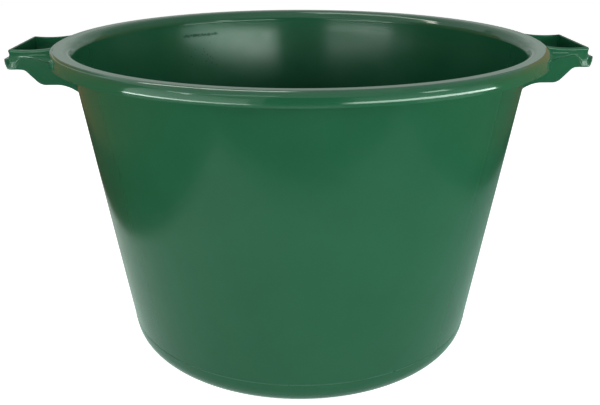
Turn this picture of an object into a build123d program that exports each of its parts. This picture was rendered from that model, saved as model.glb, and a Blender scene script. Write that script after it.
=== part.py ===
from build123d import *
import math
import os

# Cement tub: a round tapered tub with a down-turned rim and two hand frames.
# Millimetres. The origin is the centre of the underside, +Z is up, X runs through the handles.

# Tub
tub_height = 418.0
wall_top_diameter = 600.0  # outside of the wall, carried up to the rim's top
wall_foot_diameter = 477.0  # outside of the wall, carried down to the ground
wall_thickness = 3.5
floor_thickness = 4.0
corner_radius = 34.0  # outside, between wall and floor
foot_height = 1.5  # the outer ring of the underside stands this much below its middle
foot_ring_width = 28.0

# Joints between the members
bond_gap = 0.1
seam_margin = 7.0  # straight wall between the base's corner and the seam above it
base_lap = 12.0  # how far the base's tongue reaches up inside the wall

# Rim, from its sloped inside over the flat top to the skirt's lower edge
rim_slope_run = 6.2
rim_slope_depth = 11.0
rim_flat_width = 15.5
rim_shoulder_run = 8.5
rim_shoulder_depth = 11.2
skirt_height = 4.7
rim_thickness = 3.5
rim_leg_depth = 40.0  # from the rim's top to the end of the leg inside the wall
rim_inner_round = 12.0
rim_outer_round = 8.0
rim_shoulder_round = 10.0

# Handles
handle_width = 112.0
handle_reach = 46.7  # from the rim to the outside of the end bar
handle_wall = 4.0
handle_drop_at_rim = 2.2  # top edge below the rim's top, beside the rim
handle_drop_middle = 4.7
handle_drop_at_end = 3.4
frame_corner_round = 3.0
web_depth = 49.2  # from the rim's top to the underside of the webs beside the tub
web_step_start = 19.0  # from the outside of the end bar to the slanted step of the underside
web_step_run = 19.0
web_step_round = 9.0  # at the step's upper end
web_foot_round = 15.0  # at the step's lower end
web_flare_run = 27.7  # the webs' underside runs out into the wall over this length
web_flare_drop = 11.0

# Lip round the foot of the end bar, and the raised panels on the webs
lip_drop = 15.8  # from the rim's top to the upper edge of the lip
lip_height = 13.6
lip_proud = 6.1
lip_length = 11.0  # along the webs
panel_proud = 1.8
panel_crown = 16.2  # below the rim's top, beside the lip
panel_low = 24.0  # below the rim's top, beside the rim

# Shares that rounded edges take up
hem_share = 0.43  # of the rim's thickness
lip_share = 0.4  # of the lip's height
skirt_share = 0.85  # of the upright stretch that the shoulder's round may take
step_share = 0.85  # of the end bar's flat underside that the round at the step may take

# Shape of the wall
slope = (wall_top_diameter - wall_foot_diameter) / 2 / tub_height
slope_angle = math.atan(slope)
wall_across = wall_thickness / math.cos(slope_angle)
seam_height = corner_radius * (1 - math.sin(slope_angle)) + seam_margin
lap_end = seam_height + base_lap
wall_end = tub_height - rim_slope_depth
leg_end = tub_height - rim_leg_depth
floor_level = foot_height + floor_thickness


def outside(z):
    """Outer radius of the wall at height z."""
    return wall_foot_diameter / 2 + slope * z


def inside(z):
    """Inner radius of the wall at height z."""
    return outside(z) - wall_across


def middle(z):
    """Radius halfway through the wall at height z, where the lapped members part."""
    return outside(z) - wall_across / 2


def rounded(face, point, radius):
    """The face with its corner nearest to a point rounded."""
    corner = face.vertices().sort_by_distance((point[0], point[1], 0))[0]
    return fillet(corner, radius)


def section(points, rounds=()):
    """Closed outline through points, with some of its corners rounded: (point, radius) pairs."""
    face = make_face(Polyline(*points, close=True))
    for point, radius in rounds:
        face = rounded(face, point, radius)
    return face


def turned(face):
    """Body of revolution about Z of a section drawn as (radius, height)."""
    return revolve(Plane.XZ * face, Axis.Z)


def tub_base():
    """Dished floor whose thin tongue stands inside the foot of the wall."""
    outer_corner = (outside(0), 0)
    inner_corner = (inside(floor_level), floor_level)
    flat_edge = outside(0) - corner_radius * math.tan((math.pi / 2 - slope_angle) / 2)
    ring_edge = flat_edge - foot_ring_width
    points = [
        (0, foot_height),
        (ring_edge, foot_height),
        (ring_edge, 0),
        outer_corner,
        (outside(seam_height), seam_height),
        (middle(seam_height) - bond_gap, seam_height),
        (middle(lap_end) - bond_gap, lap_end),
        (inside(lap_end), lap_end),
        inner_corner,
        (0, floor_level),
    ]
    rounds = [(outer_corner, corner_radius), (inner_corner, corner_radius - wall_thickness)]
    return turned(section(points, rounds))


def tub_wall():
    """Tapered wall, rebated inside at its foot for the base and at its top for the rim."""
    lap_seat = lap_end + bond_gap
    leg_seat = leg_end - bond_gap
    points = [
        (middle(seam_height), seam_height),
        (outside(seam_height), seam_height),
        (outside(wall_end), wall_end),
        (middle(wall_end), wall_end),
        (middle(leg_seat), leg_seat),
        (inside(leg_seat), leg_seat),
        (inside(lap_seat), lap_seat),
        (middle(lap_seat), lap_seat),
    ]
    return turned(section(points))


# Shape of the rim
flat_inner = inside(wall_end) + rim_slope_run
flat_outer = flat_inner + rim_flat_width
rim_radius = flat_outer + rim_shoulder_run
slope_across = rim_thickness * math.hypot(rim_slope_run, rim_slope_depth) / rim_slope_depth
shoulder_across = rim_thickness * math.hypot(rim_shoulder_run, rim_shoulder_depth) / rim_shoulder_depth
shoulder_level = tub_height - rim_shoulder_depth
hem_level = shoulder_level - skirt_height
roof_level = tub_height - rim_thickness
hem_round = rim_thickness * hem_share
shoulder_turn = math.atan2(rim_shoulder_run, rim_shoulder_depth)
shoulder_round_limit = (skirt_height - hem_round) * skirt_share / math.tan(shoulder_turn / 2)
shoulder_round = min(rim_shoulder_round, shoulder_round_limit)


def under_slope(z):
    """Radius of the hidden face behind the rim's sloped inside at height z."""
    return flat_inner + slope_across - rim_slope_run * (tub_height - z) / rim_slope_depth


def under_shoulder(z):
    """Radius of the hidden face behind the rim's sloped outside at height z."""
    return flat_outer - shoulder_across + rim_shoulder_run * (tub_height - z) / rim_shoulder_depth


def rim_ring():
    """Hollow rim that seats on the wall's end, with a thin leg lapped inside the wall."""
    skirt_inner = rim_radius - rim_thickness
    skirt_top = shoulder_level - (shoulder_across - rim_thickness) * rim_shoulder_depth / rim_shoulder_run
    inner_crest = (flat_inner, tub_height)
    outer_crest = (flat_outer, tub_height)
    under_inner_crest = (under_slope(roof_level), roof_level)
    under_outer_crest = (under_shoulder(roof_level), roof_level)
    shoulder = (rim_radius, shoulder_level)
    hem_outer = (rim_radius, hem_level)
    hem_inner = (skirt_inner, hem_level)
    points = [
        (inside(leg_end), leg_end),
        (inside(wall_end), wall_end),
        inner_crest,
        outer_crest,
        shoulder,
        hem_outer,
        hem_inner,
        (skirt_inner, skirt_top),
        under_outer_crest,
        under_inner_crest,
        (under_slope(wall_end), wall_end),
        (middle(wall_end) - bond_gap, wall_end),
        (middle(leg_end) - bond_gap, leg_end),
    ]
    rounds = [
        (inner_crest, rim_inner_round),
        (outer_crest, rim_outer_round),
        (under_inner_crest, rim_inner_round - rim_thickness),
        (under_outer_crest, rim_outer_round - rim_thickness),
        (shoulder, shoulder_round),
        (hem_outer, hem_round),
        (hem_inner, hem_round),
    ]
    return turned(section(points, rounds))


# Shape of the handles
half_width = handle_width / 2
end_face = rim_radius + handle_reach
lip_level = tub_height - lip_drop
bar_level = lip_level - lip_height
web_level = tub_height - web_depth
flare_level = web_level - web_flare_drop
step_start = end_face - web_step_start
step_end = step_start - web_step_run
flare_end = math.sqrt(outside(flare_level) ** 2 - half_width ** 2)  # where the webs' underside meets the wall
root = flare_end - wall_thickness  # inside the tub, trimmed off later
lip_end = end_face + lip_proud
lip_start = end_face - lip_length
lip_round = lip_height * lip_share
step_turn = math.atan2(bar_level - web_level, web_step_run)
step_round_limit = (lip_start - step_start) * step_share / math.tan(step_turn / 2)
step_round = min(web_step_round, step_round_limit)


def tub_outline():
    """Solid that fills the wall and rim, with the bond gap round it, to trim the handles."""
    crest_radius = flat_outer + bond_gap
    skirt_radius = rim_radius + bond_gap
    skirt_level = hem_level - bond_gap
    above = tub_height + rim_leg_depth
    points = [
        (0, 0),
        (outside(0) + bond_gap, 0),
        (outside(skirt_level) + bond_gap, skirt_level),
        (skirt_radius, skirt_level),
        (skirt_radius, shoulder_level),
        (crest_radius, tub_height),
        (crest_radius, above),
        (0, above),
    ]
    return turned(section(points))


def web_face():
    """Side view of a web, drawn as (x, height), from inside the tub to the end bar."""
    rim_top = (flat_outer, tub_height - handle_drop_at_rim)
    middle_top = ((flat_outer + end_face) / 2, tub_height - handle_drop_middle)
    end_top = (end_face, tub_height - handle_drop_at_end)
    inside_lip = bar_level + lip_round
    step_top = (step_start, bar_level)
    step_foot = (step_end, web_level)
    flare_top = (flare_end + web_flare_run, web_level)
    flare_foot = (flare_end, flare_level)
    top = ThreePointArc(rim_top, middle_top, end_top)
    under_lip = Polyline(end_top, (end_face, inside_lip), (lip_start, inside_lip), (lip_start, bar_level))
    under = Polyline((lip_start, bar_level), step_top, step_foot, flare_top)
    flare = TangentArc(flare_top, flare_foot, tangent=(-1, 0))
    back = Polyline(flare_foot, (root, flare_level), (root, rim_top[1]), rim_top)
    face = make_face([top, under_lip, under, flare, back])
    face = rounded(face, step_top, step_round)
    return rounded(face, step_foot, web_foot_round)


def panel_face():
    """Side view of the raised panel on a web, under its arched top edge."""
    crown = (lip_start, tub_height - panel_crown)
    low = (rim_radius, tub_height - panel_low)
    middle_arch = ((crown[0] + low[0]) / 2, tub_height - (panel_crown * 2 + panel_low) / 3)
    arch = ThreePointArc(low, middle_arch, crown)
    ends = Polyline(crown, (lip_start, web_level), (root, web_level), (root, low[1]), low)
    return make_face([arch, ends]) & web_face()


def upright(face, half_length):
    """Block made from a side view drawn as (x, height), as long to either side of y = 0."""
    return extrude(Plane.XZ.offset(half_length) * face, -2 * half_length)


def lip():
    """Rounded lip round the foot of the end bar, which runs on along both webs."""
    side = half_width + panel_proud
    centre = Vector((lip_start + lip_end) / 2, 0, (bar_level + lip_level) / 2)
    block = Pos(centre) * Box(lip_end - lip_start, 2 * side, lip_height)
    outer_corners = block.edges().filter_by(Axis.Z).sort_by(Axis.X)[2:]
    block = fillet(outer_corners, lip_round)
    return fillet(block.faces().sort_by(Axis.X)[-1].edges(), lip_round)


def handle_right():
    """Hand frame: two webs, an end bar with its lip, and a raised panel on each web."""
    inner_half = half_width - handle_wall
    inner_end = end_face - handle_wall
    webs = upright(web_face(), half_width)
    outer_corners = webs.edges().filter_by(Axis.Z).sort_by(Axis.X)[-2:]
    webs = fillet(outer_corners, frame_corner_round)
    frame = webs + lip() + upright(panel_face(), half_width + panel_proud)
    hollow_depth = 2 * (tub_height - flare_level)
    hollow_middle = Vector((root + inner_end) / 2, 0, tub_height)
    hollow = Pos(hollow_middle) * Box(inner_end - root, 2 * inner_half, hollow_depth)
    return frame - hollow - tub_outline()


os.makedirs("parts", exist_ok=True)
right = handle_right()
left = right.rotate(Axis.Z, 180)
export_step(tub_base(), "parts/tub_base.step")
export_step(tub_wall(), "parts/tub_wall.step")
export_step(rim_ring(), "parts/rim_ring.step")
export_step(right, "parts/handle_right.step")
export_step(left, "parts/handle_left.step")
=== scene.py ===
import math

import bmesh
import bpy
import numpy as np
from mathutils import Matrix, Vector


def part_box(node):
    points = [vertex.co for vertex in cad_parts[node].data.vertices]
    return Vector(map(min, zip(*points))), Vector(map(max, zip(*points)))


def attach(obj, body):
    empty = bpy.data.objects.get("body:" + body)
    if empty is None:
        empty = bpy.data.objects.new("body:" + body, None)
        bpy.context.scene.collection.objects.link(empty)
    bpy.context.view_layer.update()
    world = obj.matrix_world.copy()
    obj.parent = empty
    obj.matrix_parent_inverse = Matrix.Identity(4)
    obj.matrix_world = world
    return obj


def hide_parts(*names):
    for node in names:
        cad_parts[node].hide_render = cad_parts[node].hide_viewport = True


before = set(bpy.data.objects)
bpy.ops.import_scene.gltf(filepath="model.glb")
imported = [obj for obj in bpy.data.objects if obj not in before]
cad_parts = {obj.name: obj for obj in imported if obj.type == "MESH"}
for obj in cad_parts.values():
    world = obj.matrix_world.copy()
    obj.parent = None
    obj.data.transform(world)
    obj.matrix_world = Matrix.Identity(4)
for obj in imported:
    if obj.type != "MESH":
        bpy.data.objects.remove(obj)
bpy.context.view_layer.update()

# Sizes taken from the frame, in metres
_, base_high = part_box("tub_base")
wall_low, wall_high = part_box("tub_wall")
rim_low, rim_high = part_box("rim_ring")
grip_low, grip_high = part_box("handle_right")
tub_height = rim_high.z
rim_radius = min(rim_high.x, rim_high.y)
seam_height = wall_low.z
wall_end = wall_high.z
leg_end = rim_low.z
lap_end = base_high.z
slope = (wall_high.x - base_high.x) / (wall_end - seam_height)
foot_radius = base_high.x - slope * seam_height
lip_end = grip_high.x
flare_level = grip_low.z

# Sizes of the base and the wall, in metres
mm = 0.001
wall_thickness = 3.5 * mm
floor_thickness = 4 * mm
foot_height = 1.5 * mm
foot_ring_width = 28 * mm
foot_edge_run = 1.5 * mm
foot_edge_round = 0.8 * mm
corner_radius = 34 * mm
seam_bead = 0.4 * mm  # how far the raised line at the seam stands out
seam_bead_half = 0.9 * mm
bead_foot_round = 0.2 * mm
bead_round = 0.5 * mm
bead_end_round = 0.3 * mm
edge_round = 0.4 * mm
flush_round = 0.05 * mm  # where two members lie flush
wave_depth = 0.3 * mm
turns = 320  # steps round the tub
weld_distance = 1e-6

slope_angle = math.atan(slope)
wall_across = wall_thickness / math.cos(slope_angle)
floor_level = foot_height + floor_thickness
bead_end = seam_height + 2 * seam_bead_half


def outside(z):
    """Outer radius of the wall at height z."""
    return foot_radius + slope * z


def inside(z):
    """Inner radius of the wall at height z."""
    return outside(z) - wall_across


def middle(z):
    """Radius halfway through the wall at height z."""
    return outside(z) - wall_across / 2


# Shape helpers


def mixed(first, second, share):
    """Value that goes from the first to the second while a share goes from 0 to 1."""
    return first + (second - first) * share


def soft_step(value, start, end):
    """0 before start, 1 after end, and smooth between."""
    share = np.clip((value - start) / (end - start), 0, 1)
    return share * share * (3 - 2 * share)


def bell(value, centre, spread):
    """1 at the centre, falling smoothly to 0 on both sides."""
    return np.exp(-((value - centre) / spread) ** 2)


def arc(centre, reach, start, end, steps=5):
    """Points along an arc of an ellipse, from one angle to another in degrees."""
    angle = np.radians(np.linspace(start, end, steps))
    return list(zip(centre[0] + reach[0] * np.cos(angle), centre[1] + reach[1] * np.sin(angle)))


def rounded_line(points, closed=False, steps=7):
    """Points along a line whose corners, given as (x, y, radius), are rounded by arcs."""
    line = []
    count = len(points)
    for i, (x, y, radius) in enumerate(points):
        corner = np.array((x, y))
        if radius <= 0 or (not closed and i in (0, count - 1)):
            line.append(corner)
            continue
        back = np.array(points[i - 1][:2]) - corner
        ahead = np.array(points[(i + 1) % count][:2]) - corner
        back /= np.linalg.norm(back)
        ahead /= np.linalg.norm(ahead)
        half = math.acos(np.clip(back @ ahead, -1, 1)) / 2
        reach = radius / math.tan(half)
        towards_centre = (back + ahead) / np.linalg.norm(back + ahead)
        centre = corner + towards_centre * radius / math.sin(half)
        start = corner + back * reach - centre
        turn = math.pi - 2 * half
        side = np.sign(back[0] * ahead[1] - back[1] * ahead[0])
        for share in np.linspace(0, 1, steps):
            angle = -side * turn * share
            cosine, sine = math.cos(angle), math.sin(angle)
            line.append(centre + np.array(((cosine, -sine), (sine, cosine))) @ start)
    return np.array(line)


def filled(line, step, closed=False, fine=None):
    """The line with more points, none further apart than a step.

    After a point for which fine holds, they are no further apart than a fifth of a step.
    """
    ends = np.roll(line, -1, axis=0) if closed else line[1:]
    dense = []
    for start, end in zip(line, ends):
        reach = step / 5 if fine and fine(start) else step
        count = max(1, math.ceil(np.linalg.norm(end - start) / reach))
        dense.extend(start + (end - start) * k / count for k in range(count))
    if not closed:
        dense.append(line[-1])
    return np.array(dense)


def close_mesh(mesh):
    """Weld a mesh's doubled points, fill its open ends and turn its faces outward."""
    shape = bmesh.new()
    shape.from_mesh(mesh)
    bmesh.ops.remove_doubles(shape, verts=shape.verts, dist=weld_distance)
    bmesh.ops.holes_fill(shape, edges=[edge for edge in shape.edges if edge.is_boundary])
    bmesh.ops.recalc_face_normals(shape, faces=shape.faces)
    shape.to_mesh(mesh)
    shape.free()


def grid_piece(name, points, wrap_rows):
    """Smooth closed piece through a grid of points (rows, columns, 3) whose columns wrap round."""
    rows, columns = points.shape[:2]
    index = np.arange(rows * columns).reshape(rows, columns)
    below = np.roll(index, -1, axis=0)
    beside = np.roll(index, -1, axis=1)
    corner = np.roll(below, -1, axis=1)
    last_row = rows if wrap_rows else rows - 1
    faces = np.stack((index, below, corner, beside), axis=-1)[:last_row]
    mesh = bpy.data.meshes.new(name)
    mesh.from_pydata(points.reshape(-1, 3).tolist(), [], faces.reshape(-1, 4).tolist())
    close_mesh(mesh)
    mesh.polygons.foreach_set("use_smooth", np.ones(len(mesh.polygons), bool))
    piece = bpy.data.objects.new(name, mesh)
    bpy.context.scene.collection.objects.link(piece)
    weights = piece.modifiers.new("even_shading", "WEIGHTED_NORMAL")
    weights.weight = 60
    return piece


def lathe(name, profile, change=None, steps=turns):
    """Piece turned about Z from a closed profile of (radius, height).

    A change, given radius, height and angle, may shift the points by their angle.
    """
    angle = np.linspace(0, 2 * math.pi, steps, endpoint=False)[:, None]
    radius = np.tile(profile[:, 0], (steps, 1))
    height = np.tile(profile[:, 1], (steps, 1))
    if change:
        radius, height = change(radius, height, angle)
    points = np.stack((radius * np.cos(angle), radius * np.sin(angle), height), axis=-1)
    return grid_piece(name, points, True)


# The base and the wall


def wavy(radius, height, angle):
    """The wall with a slight unevenness, none at the seam and at the rim."""
    share = np.clip((height - seam_height) / (leg_end - seam_height), 0, 1)
    broad = np.sin(2 * angle + 0.7)
    narrow = 0.6 * np.sin(5 * angle + 2.1 + 2 * share)
    fine = 0.3 * np.sin(9 * angle + 5 * share)
    wave = wave_depth * np.sin(math.pi * share) * (broad + narrow + fine) / 2
    return radius + wave, height


def make_base():
    """Floor with its foot ring and rounded corner, and the tongue that laps inside the wall."""
    flat_edge = foot_radius - corner_radius * math.tan((math.pi / 2 - slope_angle) / 2)
    ring_edge = flat_edge - foot_ring_width
    points = [
        (0, foot_height, 0),
        (ring_edge, foot_height, foot_edge_round),
        (ring_edge + foot_edge_run, 0, foot_edge_round),
        (foot_radius, 0, corner_radius),
        (outside(seam_height), seam_height, edge_round),
        (middle(seam_height), seam_height, 0),
        (middle(lap_end), lap_end, 0),
        (inside(lap_end), lap_end, edge_round),
        (inside(floor_level), floor_level, corner_radius - wall_thickness),
        (0, floor_level, 0),
    ]
    profile = filled(rounded_line(points, True, 16), 12 * mm)
    return lathe("base_moulding", profile)


def make_wall():
    """Tapered wall with the fine raised line at its foot."""
    bead_middle = seam_height + seam_bead_half
    points = [
        (middle(seam_height), seam_height, 0),
        (outside(seam_height), seam_height, bead_foot_round),
        (outside(bead_middle) + seam_bead, bead_middle, bead_round),
        (outside(bead_end), bead_end, bead_end_round),
        (outside(wall_end), wall_end, 0),
        (middle(wall_end), wall_end, 0),
        (middle(leg_end), leg_end, 0),
        (inside(leg_end), leg_end, flush_round),
        (inside(lap_end), lap_end, edge_round),
        (middle(lap_end), lap_end, 0),
    ]
    profile = filled(rounded_line(points, True, 5), 8 * mm, True)
    return lathe("wall_moulding", profile, wavy)


# The rim

rim_steps = 400  # steps round the rim
rim_slope_run = 6.2 * mm
rim_slope_depth = tub_height - wall_end
rim_flat_width = 15.5 * mm
rim_face_depth = 12.1 * mm
rim_thickness = 3.5 * mm
hem_depth = 15.9 * mm
skirt_lean = math.tan(math.radians(3))
edge_inset = 9.5 * mm  # from the rim's outside to the crease round its flat top
shoulder_inset = 3.3 * mm
shoulder_drop = 2 * mm
rim_inner_round = 12 * mm
rim_edge_round = 2 * mm
rim_outer_round = 12 * mm
rim_face_round = 25 * mm
hem_round = 0.6 * mm
skirt_round = 2 * mm
roof_inset = 2 * mm
roof_inner_round = 6 * mm
roof_outer_round = 4 * mm
seat_reach = 3.9 * mm  # from the wall's inside to the foot of the rim's roof
ridge_round = 11 * mm
ridge_lean = 0.04  # the leg's face at the ridge, run over depth

flat_inner = inside(wall_end) + rim_slope_run
flat_outer = flat_inner + rim_flat_width
hem_level = tub_height - hem_depth
face_level = tub_height - rim_face_depth
face_radius = rim_radius - skirt_lean * (face_level - hem_level)
edge_radius = rim_radius - edge_inset
shoulder_radius = rim_radius - shoulder_inset
shoulder_level = tub_height - shoulder_drop
roof_level = tub_height - rim_thickness

# The groove on the rim's top and the wider edge beside it, with angles in degrees
marks_inner = edge_radius - 3 * mm
marks_low = roof_level - 3 * mm
groove_radius = rim_radius - 6.62 * mm
groove_turn_in = 3.6 * mm  # how much further in it starts
groove_width = 0.9 * mm
groove_depth = 0.7 * mm
groove_start = 193  # round from +X
groove_entry = 1.5
groove_turn = 17  # over which it comes out to its radius
groove_fade = 24, 46  # past its start
notch_depth = 0.8  # of the groove's depth, more at its start
notch_spread = 2
edge_widening = 3 * mm
widening_middle = 197  # round from +X
widening_spread = 16


def rim_marks(radius, height, angle):
    """Groove near the edge of the rim's top, from the left handle to the front, and the wider edge."""
    degrees = np.degrees(angle)
    past = (degrees - groove_start) % 360
    centre = groove_radius - groove_turn_in * (1 - soft_step(past, 0, groove_turn))
    length = soft_step(past, 0, groove_entry) * (1 - soft_step(past, *groove_fade))
    notch = 1 + notch_depth * bell(past, groove_entry, notch_spread)
    cut = length * notch * bell(radius, centre, groove_width) * soft_step(height, marks_low, roof_level)
    outward = soft_step(radius, flat_inner, edge_radius) * soft_step(height, marks_low, tub_height)
    wider = bell(degrees, widening_middle, widening_spread) * outward
    return radius + edge_widening * wider, height - groove_depth * cut


def under_marks(point):
    """Whether a point of the rim's profile lies where the groove may run."""
    radius, height = point
    return marks_inner - 0.1 * mm < radius < shoulder_radius and height > roof_level


def leg_face(z):
    """Inner radius of the rim's leg, which stands more upright towards the ridge under the rim."""
    up = z - leg_end
    return inside(leg_end) + slope * up - (slope - ridge_lean) * up ** 2 / (wall_end - leg_end) / 2


def make_rim():
    """Down-turned rim: its leg inside the wall, the slope, the flat top, the shoulder and the skirt."""
    skirt_inner = rim_radius - rim_thickness
    leg = [(leg_face(z), z, 0) for z in np.linspace(leg_end, wall_end, 8)[1:-1]]
    points = [
        (inside(leg_end), leg_end, flush_round),
        *leg,
        (leg_face(wall_end), wall_end, ridge_round),
        (flat_inner, tub_height, rim_inner_round),
        (marks_inner, tub_height, 0),
        (edge_radius, tub_height, rim_edge_round),
        (shoulder_radius, shoulder_level, rim_outer_round),
        (face_radius, face_level, rim_face_round),
        (rim_radius, hem_level, hem_round),
        (skirt_inner, hem_level, hem_round),
        (skirt_inner, face_level, skirt_round),
        (flat_outer - roof_inset, roof_level, roof_outer_round),
        (flat_inner + roof_inset, roof_level, roof_inner_round),
        (inside(wall_end) + seat_reach, wall_end, 0),
        (middle(wall_end), wall_end, 0),
        (middle(leg_end), leg_end, 0),
    ]
    profile = filled(rounded_line(points, True, 13), 3 * mm, True, under_marks)
    return lathe("rim_moulding", profile, rim_marks, rim_steps)


# The handles

handle_wall = 4 * mm
handle_corner = 4 * mm
lip_proud = 6.1 * mm  # on the end bar
front_proud = 3 * mm  # lip where it comes round to the front of a web
panel_proud = 1.8 * mm
half_width = grip_high.y - panel_proud
end_face = lip_end - lip_proud
corner_start = end_face - handle_corner
bar_half = half_width - handle_corner
lip_level = tub_height - 15.8 * mm
bar_level = lip_level - 13.6 * mm
web_level = tub_height - 49.2 * mm
step_start = end_face - 19 * mm
step_end = step_start - 19 * mm
step_round = 9 * mm
foot_round = 15 * mm
web_flare_run = 27.7 * mm
web_flare_drop = web_level - flare_level
flare_end = math.sqrt(outside(flare_level) ** 2 - half_width ** 2)
flare_top = flare_end + web_flare_run
under_roof = flat_inner + 8 * mm  # where a web ends below the rim's flat top
drop_at_rim = 2.2 * mm
drop_middle = 4.7 * mm
drop_at_end = 3.4 * mm
top_round = 1.2 * mm  # towards the hand
top_outer_round = 2.7 * mm
toe_round = 1 * mm
band_hollow = 0.9 * mm  # on the end bar
web_hollow = 0.25 * mm

# The ledge along a web, and the dip in it where it comes round to the lip
panel_rim = rim_radius - 3.02 * mm
panel_end = panel_rim + 32 * mm  # where the panel's ledge goes over into the lip's
panel_level = tub_height - 14 * mm
panel_fall = 7 * mm
ledge_slant = 0.3 * mm
lip_rise = 0.7 * mm
ledge_fillet, ledge_crisp = 0.35, 0.2  # rounds, as shares of how far the ledge stands out
dip_depth = 4.8 * mm
dip_slant = 6 * mm
dip_fillet, dip_crisp = 6 * mm, 4.5 * mm
dip_zone = panel_end + 1 * mm, corner_start - 4 * mm
dip_turn = 0.7, 1.25  # angles round the corner between which the dip ends
knob_zone = corner_start - 12 * mm, corner_start - 3 * mm
heel_zone = panel_end, corner_start - 2 * mm
heel_run = 3 * mm  # how much wider than the ledge the end bar's foot is rounded
plain_foot = 1.2 * mm
dip_sink = 0.6  # share of the fillet by which the band reaches lower in the dip
foot_share, dip_foot_share = 0.7, 0.5  # of a lip's height, the most that its rounded foot takes

# The small rib above the ledge, as heights from its middle and shares of how far it stands out
rib_level = tub_height - 11.6 * mm
rib_proud = 0.5 * mm
rib_shape = (1 * mm, 0), (0.5 * mm, 0.7), (0, 1), (-0.6 * mm, 0.7), (-1.2 * mm, 0)
rib_top = rib_level + rib_shape[0][0]
rib_foot = rib_level + rib_shape[-1][0]
rib_start = panel_rim, panel_rim + 5 * mm
rib_end = panel_rim + 18 * mm, panel_rim + 24 * mm


def web_end_radius(z):
    """Radius inside the wall's or the rim's thickness, where a web ends at height z."""
    above = mixed(middle(wall_end), under_roof, (z - wall_end) / rim_slope_depth)
    return np.where(z < wall_end, middle(z), above)


def frame_top(x):
    """Height of the hand frame's top edge, which sags between the rim and the end bar."""
    share = np.clip((x - flat_outer) / (end_face - flat_outer), 0, 1)
    sag = 4 * drop_middle - 2 * drop_at_rim - 2 * drop_at_end
    return tub_height - mixed(drop_at_rim, drop_at_end, share) - sag * share * (1 - share)


def frame_bottom(x):
    """Height of the webs' underside: a flare, a flat, a slanted step and the end bar's foot."""
    line = rounded_line([
        (flare_top, web_level, 0),
        (step_end, web_level, foot_round),
        (step_start, bar_level, step_round),
        (lip_end, bar_level, 0),
    ], steps=12)
    flare_radius = (web_flare_run ** 2 + web_flare_drop ** 2) / (2 * web_flare_drop)
    past = np.clip(flare_top - x, 0, 0.999 * flare_radius)
    flare = flare_radius - np.sqrt(flare_radius ** 2 - past ** 2)
    return np.interp(x, line[:, 0], line[:, 1]) - flare


def ledge_level(x):
    """Height of the ledge along a web: it arches down to the rim, and falls a little to the lip."""
    to_rim = np.clip((panel_end - x) / (panel_end - panel_rim), 0, 1.5)
    to_lip = soft_step(x, panel_end, corner_start)
    return panel_level - panel_fall * to_rim ** 2 - (panel_level - lip_level) * to_lip


def band_points(band_top, band_foot, rib, hollow):
    """Points down the band from the top edge to the ledge, hollow by some depth, with the rib on it."""
    band = [(0, mixed(band_top, rib_top, share)) for share in (0.2, 0.4, 0.6, 0.8)]
    band += [(rib * bulge, rib_level + up) for up, bulge in rib_shape]
    band += [(0, mixed(rib_foot, band_foot, share)) for share in (0.25, 0.5, 0.75)]
    depth = band_top - band_foot
    return [(offset - hollow * math.sin(math.pi * (band_top - z) / depth), z) for offset, z in band]


def frame_section(levels, proud, dip, rib, heel, hollow):
    """Closed section of the hand frame as (outward offset, height), with as many points anywhere.

    It runs over the top, down the hollow band, out over the ledge, round the foot and up the inside.
    """
    top, ledge, edge, bottom = levels
    inner = -handle_wall
    fillet = mixed(ledge_fillet * proud, dip_fillet, dip)
    crisp = mixed(ledge_crisp * proud, dip_crisp, dip)
    band_foot = ledge + fillet * (1 - dip_sink * dip)
    under = mixed(plain_foot, proud + heel_run, heel)
    rise = min(under, mixed(foot_share, dip_foot_share, dip) * (edge - bottom))
    low = bottom + rise

    points = arc((inner + top_round, top - top_round), (top_round, top_round), 180, 90)
    band_top = top - top_outer_round
    points += arc((-top_outer_round, band_top), (top_outer_round, top_outer_round), 90, 0)
    points += band_points(band_top, band_foot, rib, hollow)
    corners = [(0, band_foot, 0), (0, ledge, fillet), (proud, edge, crisp), (proud, low, 0)]
    points.extend(rounded_line(corners)[1:-1])
    for share in (0.5, 0.8):
        points.append((proud, mixed(points[-1][1], low, share)))
    points += arc((proud - under, low), (under, rise), 0, -90, 9)
    points += arc((inner + toe_round, bottom + toe_round), (toe_round, toe_round), -90, -180)
    for share in np.linspace(0, 1, 8)[1:-1]:
        points.append((inner, mixed(bottom + toe_round, top - top_round, share)))
    return np.array(points)


def frame_station(kind, place, turn):
    """Points of the section at one station of the near half of a hand frame.

    The place is a share along the root, an x along the web or a y along the end bar.
    """
    x = {"root": mixed(flare_end, flare_top, place), "web": place}.get(kind, corner_start)
    bottom_x = x - wall_across / 2 * (1 - place) if kind == "root" else x
    on_bar = math.sin(turn) ** 2
    knob = soft_step(x, *knob_zone)
    proud = mixed(panel_proud, front_proud, knob) + (lip_proud - front_proud) * on_bar
    dip = soft_step(x, *dip_zone) * (1 - soft_step(turn, *dip_turn))
    ledge = ledge_level(x) - dip_depth * dip
    edge = ledge - ledge_slant - dip_slant * dip + lip_rise * on_bar
    rib = rib_proud * soft_step(x, *rib_start) * (1 - soft_step(x, *rib_end))
    levels = frame_top(x), ledge, edge, frame_bottom(bottom_x)
    hollow = mixed(web_hollow, band_hollow, on_bar)
    section = frame_section(levels, proud, dip, rib, soft_step(x, *heel_zone), hollow)

    offset, z = section[:, 0], section[:, 1]
    if kind == "bar":
        return np.stack((end_face + offset, np.full_like(z, place), z), axis=-1)
    if kind == "corner":
        reach = handle_corner + offset
        across = -bar_half - reach * math.cos(turn)
        return np.stack((corner_start + reach * math.sin(turn), across, z), axis=-1)
    y = -half_width - offset
    if kind == "root":
        x = mixed(np.sqrt(web_end_radius(z) ** 2 - y ** 2), flare_top, place)
    return np.stack((np.broadcast_to(x, z.shape), y, z), axis=-1)


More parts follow.
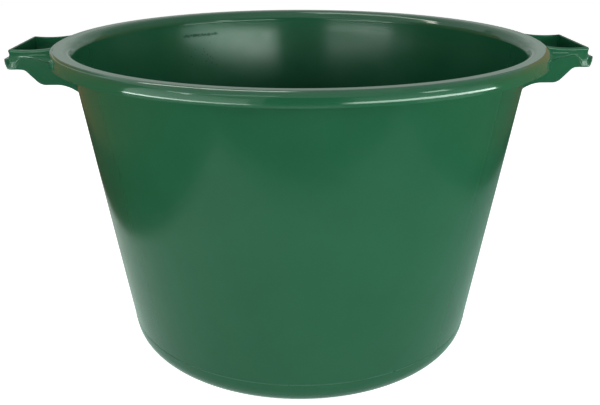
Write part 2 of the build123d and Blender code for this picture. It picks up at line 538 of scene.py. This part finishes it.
def make_handle(name, side):
    """Hand frame on the right (side 1) or left (side -1), from one web round the end bar to the other."""
    stations = [("root", share, 0) for share in np.linspace(0, 1, 9)]
    stations += [("web", x, 0) for x in np.linspace(flare_top, corner_start, 56)[1:]]
    stations += [("corner", corner_start, turn) for turn in np.linspace(0, math.pi / 2, 15)[1:]]
    stations += [("bar", y, math.pi / 2) for y in np.linspace(-bar_half, 0, 9)[1:]]
    half = [frame_station(*station) for station in stations]
    mirrored = [row * (1, -1, 1) for row in half[-2::-1]]
    points = np.array(half + mirrored)
    points[..., :2] *= side
    return grid_piece(name, points, False)


# Node helpers


def node(tree, kind, **sockets):
    """New shader node with some of its inputs set, by name."""
    made = tree.nodes.new(kind)
    for name, value in sockets.items():
        made.inputs[name].default_value = value
    return made


def noise(tree, place, scale, detail, roughness):
    """Output of a noise texture over a place."""
    made = node(tree, "ShaderNodeTexNoise", Scale=scale, Detail=detail, Roughness=roughness)
    tree.links.new(place, made.inputs["Vector"])
    return made.outputs["Fac"]


def calculated(tree, operation, *values):
    """Output of a Math node whose inputs are outputs of other nodes or numbers."""
    made = tree.nodes.new("ShaderNodeMath")
    made.operation = operation
    for socket, value in zip(made.inputs, values):
        if isinstance(value, (int, float)):
            socket.default_value = value
        else:
            tree.links.new(value, socket)
    return made.outputs[0]


def ramped(tree, value, start, end, low=0.0, high=1.0):
    """Output that goes from low to high while a value goes from start to end."""
    made = tree.nodes.new("ShaderNodeMapRange")
    for name, number in (("From Min", start), ("From Max", end), ("To Min", low), ("To Max", high)):
        made.inputs[name].default_value = number
    tree.links.new(value, made.inputs["Value"])
    return made.outputs["Result"]


def window(tree, value, centre, half, soft):
    """1 where a value lies within half of the centre, fading to 0 beyond that."""
    off = calculated(tree, "ABSOLUTE", calculated(tree, "SUBTRACT", value, centre))
    return ramped(tree, off, half, half + soft, 1.0, 0.0)


# Materials

dark_green = (0.0102, 0.085, 0.037, 1)
light_green = (0.0118, 0.092, 0.041, 1)
# Paler green for the raised seam line: a painted highlight, where light catches the line
seam_highlight_green = (0.03, 0.105, 0.062, 1)
# Darker green of the spots inside the tub: painted shade
painted_shade_green = (0.007, 0.056, 0.024, 1)
plastic_ior = 1.36
noise_range = 0.3, 0.7
gloss_spread = 0.12  # of the roughness, up and down
skin_depth = 0.2 * mm
rubbed_zone = -30 * mm, -150 * mm  # along X, towards the left
rubbed_roughness = 0.05
painted_shade_specular = 0.5, 0.1  # specular level beside the painted shade spots and on them

# Painted shade inside the tub: a ragged row of dark spots where the rim's leg ends on the wall, and
# shaded pores below it, each as a centre, a half width and a soft edge
shade_row_along = -157 * mm, 24 * mm, 8 * mm
shade_row_height = 386.2 * mm, 1.2 * mm, 4 * mm
pores_along = -155 * mm, 20 * mm, 6 * mm
pores_height = 353 * mm, 17 * mm, 6 * mm
raggedness = 2.2  # how much the noise counts in the row of painted shade spots
ragged_range = 1.9, 2.1
pore_range = 0.25, 0.18  # distances in a cell, from a pore's edge inward


def green_plastic(name, roughness, dark=dark_green, light=light_green):
    """Deep green moulded plastic with faint mottling, uneven gloss and a fine skin."""
    material = bpy.data.materials.new(name)
    material.use_nodes = True
    tree = material.node_tree
    shader = tree.nodes["Principled BSDF"]
    shader.inputs["IOR"].default_value = plastic_ior
    place = tree.nodes.new("ShaderNodeTexCoord").outputs["Object"]

    mottle = tree.nodes.new("ShaderNodeValToRGB")
    for stop, position, colour in zip(mottle.color_ramp.elements, noise_range, (dark, light)):
        stop.position = position
        stop.color = colour
    patches = noise(tree, place, scale=14.0, detail=4.0, roughness=0.6)
    tree.links.new(patches, mottle.inputs["Fac"])
    tree.links.new(mottle.outputs["Color"], shader.inputs["Base Color"])

    haze = noise(tree, place, scale=45.0, detail=3.0, roughness=0.55)
    least, most = roughness * (1 - gloss_spread), roughness * (1 + gloss_spread)
    tree.links.new(ramped(tree, haze, *noise_range, least, most), shader.inputs["Roughness"])

    skin = noise(tree, place, scale=420.0, detail=2.0, roughness=0.5)
    bump = node(tree, "ShaderNodeBump", Strength=0.03, Distance=skin_depth)
    tree.links.new(skin, bump.inputs["Height"])
    tree.links.new(bump.outputs["Normal"], shader.inputs["Normal"])
    return material


def painted_shade_spots(tree, place, x, y, z):
    """1 on a ragged row of painted shade spots where the rim's leg ends and on shaded pores, at the back
    on the left, and 0 elsewhere.
    """
    behind = ramped(tree, y, 0, 10 * mm)
    along = calculated(tree, "MULTIPLY", window(tree, x, *shade_row_along), behind)
    row = calculated(tree, "MULTIPLY", window(tree, z, *shade_row_height), along)
    speckle = noise(tree, place, scale=230.0, detail=3.0, roughness=0.6)
    row = ramped(tree, calculated(tree, "MULTIPLY_ADD", speckle, raggedness, row), *ragged_range)

    cells = node(tree, "ShaderNodeTexVoronoi", Scale=160.0)
    tree.links.new(place, cells.inputs["Vector"])
    pores = ramped(tree, cells.outputs["Distance"], *pore_range)
    along = calculated(tree, "MULTIPLY", window(tree, x, *pores_along), behind)
    field = calculated(tree, "MULTIPLY", window(tree, z, *pores_height), along)
    return calculated(tree, "MAXIMUM", row, calculated(tree, "MULTIPLY", pores, field))


def wear_and_painted_shade(material):
    """Make a plastic duller to the left, and paint dark, less glossy spots of shade on it."""
    tree = material.node_tree
    shader = tree.nodes["Principled BSDF"]
    place = tree.nodes["Texture Coordinate"].outputs["Object"]
    parts = tree.nodes.new("ShaderNodeSeparateXYZ")
    tree.links.new(place, parts.inputs[0])
    x, y, z = parts.outputs

    haze = shader.inputs["Roughness"].links[0].from_socket
    rubbed = ramped(tree, x, *rubbed_zone, 0.0, rubbed_roughness)
    tree.links.new(calculated(tree, "ADD", haze, rubbed), shader.inputs["Roughness"])

    # Darker colour and a lower specular level on the spots: painted shade
    marks = painted_shade_spots(tree, place, x, y, z)
    mottle = shader.inputs["Base Color"].links[0].from_socket
    shaded_colour = tree.nodes.new("ShaderNodeMix")
    shaded_colour.data_type = "RGBA"
    shaded_colour.inputs["B"].default_value = painted_shade_green
    tree.links.new(marks, shaded_colour.inputs["Factor"])
    tree.links.new(mottle, shaded_colour.inputs["A"])
    tree.links.new(shaded_colour.outputs["Result"], shader.inputs["Base Color"])
    tree.links.new(ramped(tree, marks, 0, 1, *painted_shade_specular), shader.inputs["Specular IOR Level"])


# Stage

ambient_level = 0.22
floor_lift = 0.85
floor_left, floor_right, floor_front, floor_back = -3, 3, -3, 4
white = (1, 1, 1, 1)
pale_grey = (0.8, 0.8, 0.8, 1)


def seen_rays(tree):
    """1 for camera, glossy and transmission rays, which show the white background, and 0 for the rest."""
    path = tree.nodes.new("ShaderNodeLightPath").outputs
    first = calculated(tree, "ADD", path["Is Camera Ray"], path["Is Glossy Ray"])
    both = calculated(tree, "ADD", first, path["Is Transmission Ray"])
    both.node.use_clamp = True
    return both


def make_world():
    """White to the rays that are seen, and a soft even light to the rest."""
    world = bpy.data.worlds.new("studio")
    bpy.context.scene.world = world
    world.use_nodes = True
    tree = world.node_tree
    light = tree.nodes["Background"]
    light.inputs["Color"].default_value = white
    light.inputs["Strength"].default_value = ambient_level
    shown = node(tree, "ShaderNodeBackground", Color=white, Strength=1.0)
    choice = tree.nodes.new("ShaderNodeMixShader")
    tree.links.new(seen_rays(tree), choice.inputs["Fac"])
    tree.links.new(light.outputs[0], choice.inputs[1])
    tree.links.new(shown.outputs[0], choice.inputs[2])
    tree.links.new(choice.outputs[0], tree.nodes["World Output"].inputs["Surface"])


def bare_material(name):
    """New material without a shader, with its node tree and the socket that a shader goes to."""
    material = bpy.data.materials.new(name)
    material.use_nodes = True
    tree = material.node_tree
    tree.nodes.remove(tree.nodes["Principled BSDF"])
    return material, tree, tree.nodes["Material Output"].inputs["Surface"]


def plane(name, corners):
    """Flat face of the stage."""
    mesh = bpy.data.meshes.new(name)
    mesh.from_pydata(corners, [], [range(len(corners))])
    made = bpy.data.objects.new(name, mesh)
    bpy.context.scene.collection.objects.link(made)
    return made


def level_corners(left, right, front, back, height):
    """Corners of a level rectangle, counted from front left to front right and on round."""
    return [(left, front, height), (right, front, height), (right, back, height), (left, back, height)]


def make_floor():
    """Pale floor that keeps the shadow, lifted to white where it is seen."""
    floor = plane("floor", level_corners(floor_left, floor_right, floor_front, floor_back, 0))
    material, tree, surface = bare_material("pale_floor")
    matt = node(tree, "ShaderNodeBsdfDiffuse", Color=pale_grey)
    lift = node(tree, "ShaderNodeEmission", Color=white)
    tree.links.new(calculated(tree, "MULTIPLY", seen_rays(tree), floor_lift), lift.inputs["Strength"])
    both = tree.nodes.new("ShaderNodeAddShader")
    tree.links.new(matt.outputs[0], both.inputs[0])
    tree.links.new(lift.outputs[0], both.inputs[1])
    tree.links.new(both.outputs[0], surface)
    floor.data.materials.append(material)


def card(name, corners, *colours):
    """Studio card outside the picture, which only gloss shows, in one colour or one for each corner."""
    made = plane(name, corners)
    shade = made.data.color_attributes.new("shade", "FLOAT_COLOR", "POINT")
    for point, colour in zip(shade.data, colours * (len(corners) // len(colours))):
        point.color = (*colour, 1)
    material, tree, surface = bare_material(name)
    tint = tree.nodes.new("ShaderNodeVertexColor")
    tint.layer_name = "shade"
    glow = node(tree, "ShaderNodeEmission", Strength=1.0)
    tree.links.new(tint.outputs["Color"], glow.inputs["Color"])
    tree.links.new(glow.outputs[0], surface)
    made.data.materials.append(material)
    made.visible_camera = False
    made.visible_diffuse = False
    made.visible_transmission = False
    made.visible_shadow = False


def level_card(name, left, right, front, back, height, *colours):
    """Card that lies level."""
    card(name, level_corners(left, right, front, back, height), *colours)


def upright_card(name, start, end, low, high, *colours):
    """Card that stands on a line from start to end, its corners counted from there and on round."""
    card(name, [(*start, low), (*end, low), (*end, high), (*start, high)], *colours)


def pale(level):
    """Light of a given level with the slightly green tint that the studio's light has."""
    return 0.86 * level, level, 0.92 * level


# Cards on the ground and round the room, in metres

room = 2.2  # from the tub's axis to the front and the side walls
room_back = 2.6
room_top = 2.4
sheet_left, sheet_right = -0.52, 0.68
sheet_front, sheet_back = -0.70, 1.0
# Colours of the sheet's corners: painted light and shade, with the tub's green bounce at the front and
# shade at the back right
sheet_light_and_shade = (0.9, 1.2, 1.1), (0.42, 0.66, 0.62), (0.1, 0.1, 0.08), (0.5, 0.44, 0.38)
boards = 0.85
far_front = sheet_front - 0.2
low_wood, high_wood = (0.22, 0.17, 0.1), (0.6, 0.45, 0.24)
wood_top = 1.8
back_left, back_right = (-1.7, room_back), (1.5, room_back)
front_half, front_step = 0.6, 0.5
side_corner = -0.6
hang = 0.01  # how far a bright card hangs below the one behind it
overhead_height = 1.5
strip_height = overhead_height - hang
strip_light = (17, 17, 15)
box_fade = 0.1  # of a soft box's length, past its near end


def make_ground():
    """Pale sheet under the tub as gloss shows it, with its light and shade painted into the card's
    colours: green bounce from the tub, brightest at its front left and in shade at its back right; and
    dark ground beyond.
    """
    lift = 1 * mm
    level_card("sheet", sheet_left, sheet_right, sheet_front, sheet_back, lift, *sheet_light_and_shade)
    level_card("ground_back", sheet_left, sheet_right, sheet_back, room_back, lift, pale(0.02))
    level_card("ground_front", -room, room, far_front, sheet_front, lift, pale(0.02))
    level_card("ground_far_front", -room, room, -room, far_front, lift, pale(0.25))
    level_card("ground_left", -boards, sheet_left, sheet_front, room_back, lift, (0.06, 0.045, 0.03))
    level_card("ground_right", sheet_right, boards, sheet_front, room_back, lift, pale(0.03))
    level_card("boards_left", -room, -boards, sheet_front, room_back, lift, (0.2, 0.12, 0.06))
    level_card("boards_right", boards, room, sheet_front, room_back, lift, (0.11, 0.085, 0.06))


def wooden_wall(name, side, start, end):
    """Brown wall, and a pale one above it."""
    upright_card(f"{name}_{side}", start, end, 0, wood_top, low_wood, low_wood, high_wood, high_wood)
    upright_card(f"{name}_high_{side}", start, end, wood_top, room_top, pale(0.6))


def make_back():
    """Wall behind the tub, lighter upwards, with wood at both ends."""
    upright_card("back_low", back_left, back_right, 0.3, 0.83, pale(0.55))
    upright_card("back_step", back_left, back_right, 0.83, 1.1, pale(0.7))
    upright_card("back_middle", back_left, back_right, 1.1, 1.7, pale(0.9))
    upright_card("back_high", back_left, back_right, 1.7, room_top, pale(1.0))
    upright_card("back_foot", back_left, back_right, 0, 0.3, (0.16, 0.12, 0.07))
    wooden_wall("back_wood", "left", (-room, room_back), back_left)
    wooden_wall("back_wood", "right", back_right, (room, room_back))


def make_front():
    """Wall behind the camera, dark above its middle."""
    left, right = (-front_half, -room), (front_half, -room)
    upright_card("front_low", left, right, 0, front_step, pale(1.2))
    upright_card("front_high", left, right, front_step, room_top, pale(0.15))
    upright_card("front_left", (-room, -room), left, 0, room_top, pale(1.1))
    upright_card("front_right", right, (room, -room), 0, room_top, pale(0.5))


def make_sides():
    """Walls beside the tub, light near the camera and wooden further back."""
    for name, side in (("left", -room), ("right", room)):
        upright_card("corner_" + name, (side, -room), (side, side_corner), 0, room_top, pale(1.3))
        wooden_wall("side", name, (side, side_corner), (side, room_back))


def make_overhead():
    """Ceiling with two tubes, and a card with two bright strips above the tub."""
    ceiling_shades = pale(1.8), pale(0.9), pale(0.7), pale(1.5)
    level_card("ceiling", -room, room, -room, room_back, room_top, *ceiling_shades)
    for name, front in (("first", 0.1), ("second", 0.55)):
        level_card("ceiling_tube_" + name, -0.8, 0, front, front + 0.2, room_top - hang, pale(9))
    overhead_shades = pale(1.5), pale(1.2), pale(1.3), pale(1.6)
    level_card("overhead", -0.9, 0.6, -1.1, 0, overhead_height, *overhead_shades)
    strip = [(-0.86, 0.40), (-0.06, 0.08), (-0.06, 0.2), (-0.86, 0.50)]
    card("overhead_strip", [(x, y, strip_height) for x, y in strip], strip_light)
    level_card("overhead_faint_strip", -0.85, -0.2, -1.0, -0.9, strip_height, pale(7))


def soft_box(name, near, far, heights, near_level, far_level, top_level):
    """Upright soft box: a bright strip at its foot, fading past its near end, and a paler card above.

    Heights are those of the foot, the strip's upper edge and the top, each at the near and the far end.
    """
    foot, waist, top = heights
    beyond = tuple(mixed(np.array(near), np.array(far), -box_fade))
    near_light, far_light = pale(near_level), pale(far_level)
    top_light, top_edge_light = pale(top_level), pale(top_level / 2)
    end = [(*beyond, foot[0]), (*near, foot[0]), (*near, waist[0]), (*beyond, waist[0])]
    card(name + "_end", end, pale(0), near_light, near_light, pale(0))
    strip = [(*near, foot[0]), (*far, foot[1]), (*far, waist[1]), (*near, waist[0])]
    card(name + "_foot", strip, near_light, far_light, far_light, near_light)
    upper = [(*near, waist[0]), (*far, waist[1]), (*far, top[1]), (*near, top[0])]
    card(name + "_top", upper, top_light, top_light, top_edge_light, top_edge_light)


def make_soft_boxes():
    """Soft boxes beside the camera, as gloss shows them, each with a small lamp near its top."""
    right_heights = (0.49, 0.42), (0.58, 0.50), (0.9, 0.9)
    left_heights = (0.45, 0.42), (0.49, 0.46), (0.9, 0.9)
    lamp_low, lamp_high = 0.8, 0.95
    soft_box("box_right", (0.305, -0.963), (1.15, -0.27), right_heights, 15, 26, 1.6)
    soft_box("box_left", (-0.47, -1.3), (-0.77, -0.36), left_heights, 16, 30, 3.8)
    upright_card("box_right_lamp", (0.68, -0.64), (0.82, -0.52), lamp_low, lamp_high, pale(13))
    upright_card("box_left_lamp", (-0.66, -0.70), (-0.73, -0.50), lamp_low, lamp_high, pale(16))


def lamp(name, place, aim, length, height, radiance):
    """Soft light whose face has a given radiance, and which gloss doesn't show."""
    data = bpy.data.lights.new(name, "AREA")
    data.shape = "RECTANGLE"
    data.size = length
    data.size_y = height
    data.energy = radiance * math.pi * length * height
    made = bpy.data.objects.new(name, data)
    made.location = place
    made.rotation_euler = (Vector(aim) - Vector(place)).to_track_quat("-Z", "Y").to_euler()
    made.visible_camera = False
    made.visible_glossy = False
    bpy.context.scene.collection.objects.link(made)


def make_lamps():
    """Soft lights all round the tub, the brightest at the right, and a faint glow from the floor."""
    aim = (0, 0, 0.2)
    lamp("lamp_front", (0, -1.8, 0.6), aim, 1.2, 0.4, 6.0)
    lamp("lamp_right", (1.2, -0.8, 0.6), aim, 1.0, 0.4, 9.4)
    lamp("lamp_left", (-1.2, -0.8, 0.6), aim, 1.0, 0.4, 6.0)
    lamp("lamp_low", (1.4, -0.2, 0.2), aim, 1.0, 0.36, 1.1)
    lamp("floor_glow", (0, -0.7, 0.004), (0, -0.7, 1), 2.4, 0.9, 0.25)
    lamp("lamp_top", (0, 0, 1.8), aim, 1.0, 1.0, 0.8)
    lamp("lamp_back", (0, 1.8, 0.6), aim, 1.2, 0.4, 3.0)


# Camera, at the photograph's angle, with distances in metres and angles in radians

camera_distance = 1.03767
camera_height = 0.57966
camera_turn = 0.024
camera_pitch = 0.36545
image_width = 600
focal_pixels = 766.09
sensor_width = 36.0


def make_camera():
    """Camera that looks at the tub from the front and a little above."""
    data = bpy.data.cameras.new("camera")
    data.sensor_width = sensor_width
    data.lens = sensor_width * focal_pixels / image_width
    camera = bpy.data.objects.new("camera", data)
    along = Vector((math.sin(camera_turn), math.cos(camera_turn), 0))
    camera.location = along * -camera_distance + Vector((0, 0, camera_height))
    camera.rotation_euler = (math.pi / 2 - camera_pitch, 0, -camera_turn)
    bpy.context.scene.collection.objects.link(camera)
    bpy.context.scene.camera = camera


# Finishes and pieces

wall_plastic = green_plastic("wall_plastic", 0.2)
inside_plastic = green_plastic("inside_plastic", 0.18)
wear_and_painted_shade(inside_plastic)
rim_plastic = green_plastic("rim_plastic", 0.09)
handle_plastic = green_plastic("handle_plastic", 0.12)
# The seam line's paler colour is a painted highlight
seam_highlight_plastic = green_plastic("seam_highlight_plastic", 0.3, light_green, seam_highlight_green)
ridge_gloss = 5 * mm  # how far down from the ridge the rim's own gloss reaches
inside_margin = 1 * mm
seam_margin = 0.3 * mm


def finish_inside(piece):
    """Duller finish on the faces that look into the tub, below the ridge."""
    piece.data.materials.append(inside_plastic)
    for face in piece.data.polygons:
        x, y, z = face.center
        inward = face.normal.x * x + face.normal.y * y < 0
        if inward and z < wall_end - ridge_gloss and math.hypot(x, y) < inside(z) + inside_margin:
            face.material_index = 1


def finish_seam(piece):
    """Paler, rougher finish on the fine raised line at the foot of the wall: a painted highlight along
    the line.
    """
    piece.data.materials.append(seam_highlight_plastic)
    for face in piece.data.polygons:
        x, y, z = face.center
        if z < bead_end and math.hypot(x, y) > outside(z) - seam_margin:
            face.material_index = 2


for piece, cad_node, material in (
    (make_base(), "tub_base", wall_plastic),
    (make_wall(), "tub_wall", wall_plastic),
    (make_rim(), "rim_ring", rim_plastic),
    (make_handle("handle_frame_right", 1), "handle_right", handle_plastic),
    (make_handle("handle_frame_left", -1), "handle_left", handle_plastic),
):
    piece.data.materials.append(material)
    if cad_node in ("tub_wall", "rim_ring"):
        finish_inside(piece)
    if cad_node == "tub_wall":
        finish_seam(piece)
    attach(piece, "root")
    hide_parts(cad_node)

make_world()
make_floor()
make_ground()
make_back()
make_front()
make_sides()
make_overhead()
make_soft_boxes()
make_lamps()
make_camera()

scene = bpy.context.scene
scene.view_settings.view_transform = "Standard"
